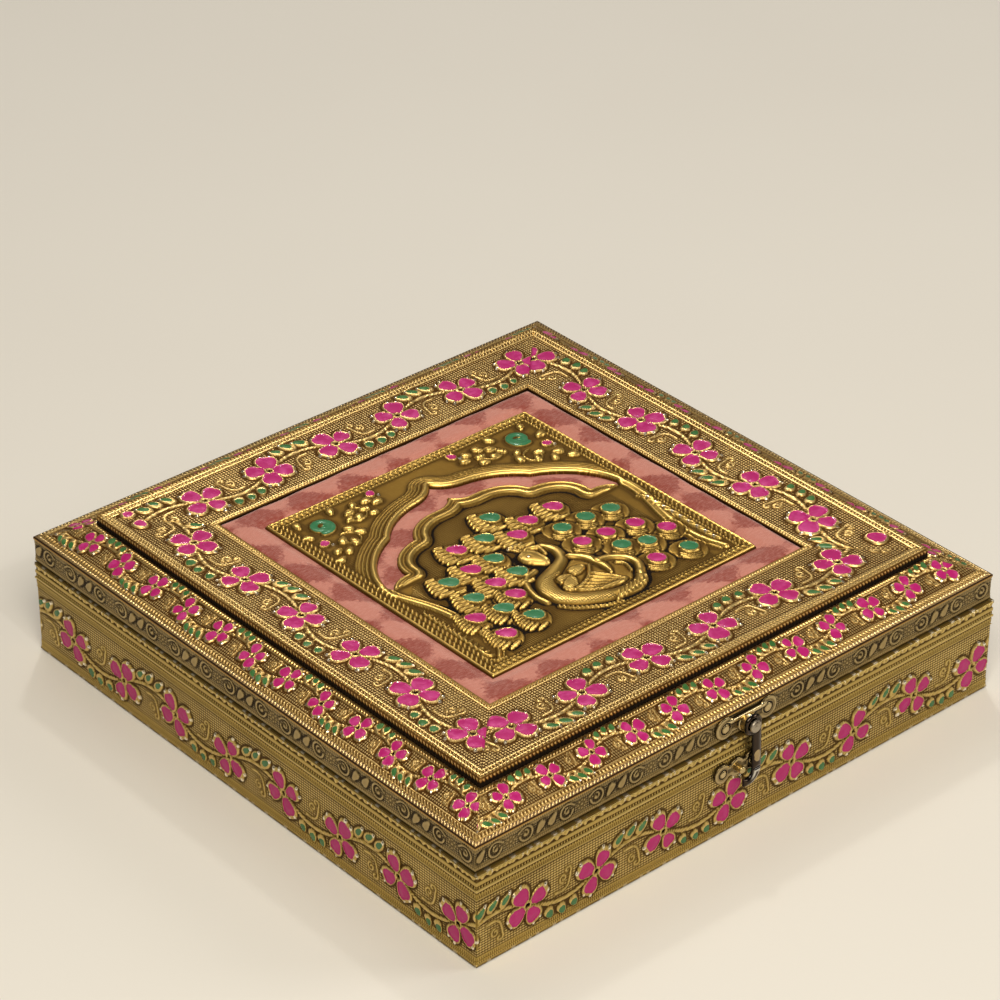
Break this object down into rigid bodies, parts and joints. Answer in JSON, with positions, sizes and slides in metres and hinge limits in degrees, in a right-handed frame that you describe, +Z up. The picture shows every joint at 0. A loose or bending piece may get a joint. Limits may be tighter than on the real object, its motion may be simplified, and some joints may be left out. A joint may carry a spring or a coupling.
{
  "type": "hinged gift box",
  "caption": "Square wooden sweet box with a bevelled hinged lid, sheathed in embossed painted brass, with a velvet recess, an arched peacock plaque and a hook latch.",
  "frame": {"origin": "on the floor, under the middle of the closed box", "axes": "+Z up, -Y out of the latch face, +Y out of the hinge face, +X to the right seen from the latch face"},
  "size_m": [0.254, 0.2628, 0.0611],
  "materials": {
    "wood_board": "bare fibreboard and softwood",
    "tray_brass": "embossed oxidised sheet with enamel paint",
    "dark_brass": "antiqued dark embossed sheet",
    "bevel_brass": "embossed oxidised sheet with enamel paint",
    "frame_brass": "embossed oxidised sheet with enamel paint",
    "plaque_brass": "repousse sheet, dark ground and polished relief",
    "printed_velvet": "short pile printed with rows of darker blotches",
    "lining_velvet": "plain short pile",
    "underside_felt": "flocked sheet",
    "latch_brass": "antiqued, dark with bright worn edges",
    "nail_brass": "dull brass",
    "hinge_brass": "aged yellow brass"
  },
  "bodies": {
    "tray": {"underside_sheet": "underside_felt", "base_floor_board": "wood_board", "base_front_wall": "wood_board", "base_back_wall": "wood_board", "base_left_wall": "wood_board", "base_right_wall": "wood_board", "base_front_cladding": "tray_brass", "base_back_cladding": "tray_brass", "base_left_cladding": "tray_brass", "base_right_cladding": "tray_brass", "base_floor_lining": "lining_velvet", "base_front_lining": "lining_velvet", "base_back_lining": "lining_velvet", "base_left_lining": "lining_velvet", "base_right_lining": "lining_velvet", "catch_plate": "latch_brass", "catch_pin": "nail_brass", "catch_nails": "nail_brass", "hinge_left_base_leaf": "hinge_brass", "hinge_right_base_leaf": "hinge_brass", "hinge_left_pin": "hinge_brass", "hinge_right_pin": "hinge_brass", "base_hinge_nails": "hinge_brass"},
    "lid": {"lid_front_rail": "wood_board", "lid_back_rail": "wood_board", "lid_left_rail": "wood_board", "lid_right_rail": "wood_board", "lid_panel": "wood_board", "lid_lining": "lining_velvet", "lid_front_cladding": "dark_brass", "lid_back_cladding": "dark_brass", "lid_left_cladding": "dark_brass", "lid_right_cladding": "dark_brass", "bevel_front_cladding": "bevel_brass", "bevel_back_cladding": "bevel_brass", "bevel_left_cladding": "bevel_brass", "bevel_right_cladding": "bevel_brass", "frame_front_lath": "wood_board", "frame_back_lath": "wood_board", "frame_left_lath": "wood_board", "frame_right_lath": "wood_board", "frame_front_cladding": "frame_brass", "frame_back_cladding": "frame_brass", "frame_left_cladding": "frame_brass", "frame_right_cladding": "frame_brass", "velvet_panel": "printed_velvet", "plaque": "plaque_brass", "latch_plate": "latch_brass", "latch_nails": "nail_brass", "latch_washer": "latch_brass", "latch_rivet": "nail_brass", "hinge_left_lid_leaf": "hinge_brass", "hinge_right_lid_leaf": "hinge_brass", "lid_hinge_nails": "hinge_brass"},
    "hook": {"latch_hook": "latch_brass"}
  },
  "joints": [
    {"name": "lid_hinge", "type": "hinge", "parent": "tray", "child": "lid", "pos_m": [0, 0.1293, 0.0397], "axis": [-1, 0, 0], "range_deg": [0, 110]},
    {"name": "latch_swing", "type": "hinge", "parent": "lid", "child": "hook", "pos_m": [-0.001, -0.1293, 0.044], "axis": [0, -1, 0], "range_deg": [-13, 95]}
  ]
}
